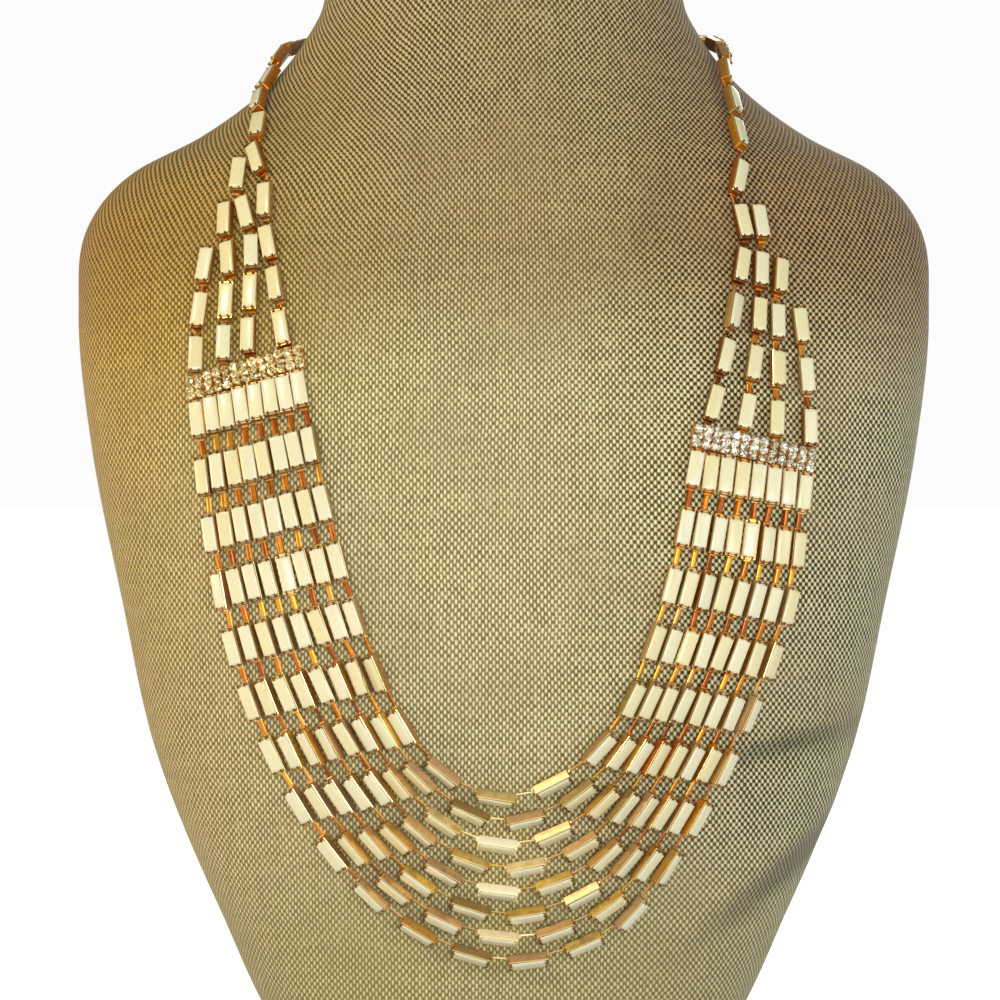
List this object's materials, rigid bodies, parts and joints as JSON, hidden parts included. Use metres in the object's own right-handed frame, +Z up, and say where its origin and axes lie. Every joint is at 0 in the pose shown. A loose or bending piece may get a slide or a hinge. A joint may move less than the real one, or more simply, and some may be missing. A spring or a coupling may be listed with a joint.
{
  "type": "bib necklace on a neck bust",
  "caption": "Bib necklace of nested strands of cream baguette bars in gold-tone settings, hung by chains from stone-set bars, on a linen neck bust.",
  "frame": {"origin": "in the flat base of the neck bust, on the line that the bust's sections are laid round", "axes": "+Z up the neck, -Y out of the front of the bust, +X to the right as seen from the front"},
  "size_m": [0.25, 0.1407, 0.325],
  "materials": {
    "linen": "matt",
    "cream_bars": "gloss",
    "gold_tone": "polished",
    "rhinestones": "faceted"
  },
  "bodies": {
    "root": {"bib_strand_1": "cream_bars", "bib_strand_2": "cream_bars", "bib_strand_3": "cream_bars", "bib_strand_4": "cream_bars", "bib_strand_5": "cream_bars", "bib_strand_6": "cream_bars", "bib_strand_7": "cream_bars", "bib_strand_8": "cream_bars", "neck_chain_left_1": "cream_bars", "neck_chain_left_2": "cream_bars", "neck_chain_left_3": "cream_bars", "neck_chain_left_4": "cream_bars", "neck_chain_right_1": "cream_bars", "neck_chain_right_2": "cream_bars", "neck_chain_right_3": "cream_bars", "neck_chain_right_4": "cream_bars", "rhinestone_bar_left": "rhinestones", "rhinestone_bar_right": "rhinestones", "clasp": "gold_tone", "neck_bust": "linen"}
  },
  "joints": []
}
